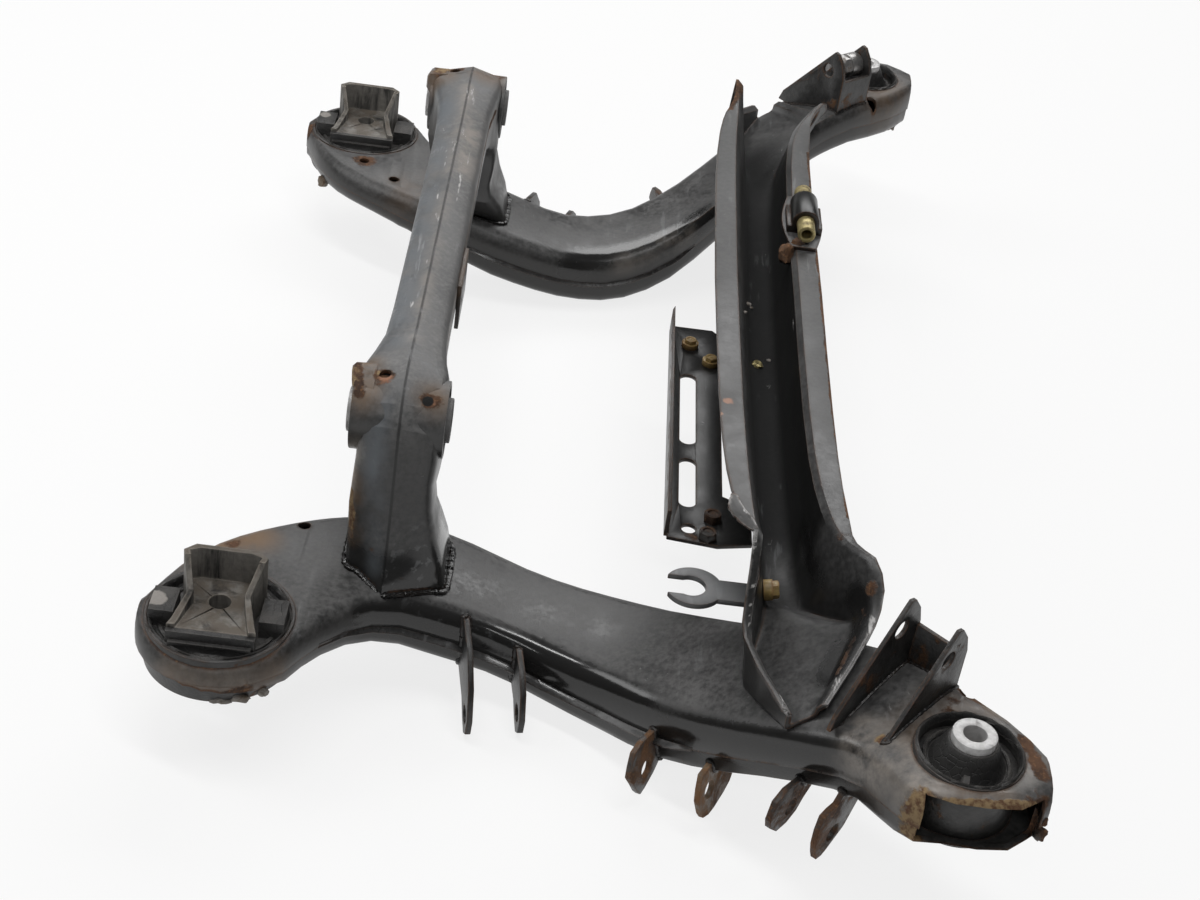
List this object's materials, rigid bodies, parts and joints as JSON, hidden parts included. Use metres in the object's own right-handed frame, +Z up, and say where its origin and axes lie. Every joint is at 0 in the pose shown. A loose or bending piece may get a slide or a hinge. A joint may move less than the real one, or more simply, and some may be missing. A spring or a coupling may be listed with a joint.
{
  "type": "subframe",
  "caption": "Welded rear axle subframe of a car: bowed box side members joined by a raised bridge and an open cross channel, with bushed body mounts and link brackets.",
  "frame": {"origin": "midway between the two front mount sleeves, on their top faces", "axes": "+X towards the vehicle's front, +Y to its left, from the right mounts to the left ones, +Z up along the mount bolts"},
  "size_m": [0.5555, 1.02, 0.2125],
  "materials": {
    "black_paint": "satin, dusty, with rust along the edges",
    "bracket_paint": "satin, scuffed",
    "fork_steel": "satin, greyish",
    "rusty_tabs": "matt, rusted at the edges",
    "rusty_bolts": "rusted",
    "yellow_zinc": "dull yellow plating",
    "bolt_steel": "dull",
    "rubber": "matt",
    "bush_steel": "satin",
    "cast_core": "cast, dirty",
    "bright_core": "dull machined"
  },
  "bodies": {
    "root": {"upper_pressing_r": "black_paint", "upper_pressing_l": "black_paint", "lower_pressing_r": "black_paint", "lower_pressing_l": "black_paint", "bridge_rear_shell": "black_paint", "bridge_front_shell": "black_paint", "bridge_side_tab": "black_paint", "tower_sleeve_r": "bush_steel", "tower_sleeve_l": "bush_steel", "tower_rubber_r": "rubber", "tower_rubber_l": "rubber", "tower_core_r": "bright_core", "tower_core_l": "bright_core", "cross_channel": "black_paint", "drive_bracket": "bracket_paint", "drive_bracket_screws": "rusty_bolts", "fork_bracket": "fork_steel", "fork_bolt": "rusty_bolts", "clamp_plate": "black_paint", "clamp_block": "black_paint", "clamp_bosses": "yellow_zinc", "tab_a1_r": "rusty_tabs", "tab_a1_l": "rusty_tabs", "tab_a2_r": "rusty_tabs", "tab_a2_l": "rusty_tabs", "tab_b1_r": "rusty_tabs", "tab_b1_l": "rusty_tabs", "tab_b2_r": "rusty_tabs", "tab_b2_l": "rusty_tabs", "tab_c1_r": "rusty_tabs", "tab_c1_l": "rusty_tabs", "tab_c2_r": "rusty_tabs", "tab_c2_l": "rusty_tabs", "link_clevis_r": "rusty_tabs", "link_clevis_l": "rusty_tabs", "link_bolt_l": "bolt_steel", "rear_sleeve_r": "bush_steel", "rear_sleeve_l": "bush_steel", "rear_rubber_r": "rubber", "rear_rubber_l": "rubber", "rear_core_r": "cast_core", "rear_core_l": "cast_core", "front_sleeve_r": "bush_steel", "front_sleeve_l": "bush_steel", "front_rubber_r": "rubber", "front_rubber_l": "rubber", "front_core_r": "bright_core", "front_core_l": "bright_core"}
  },
  "joints": []
}
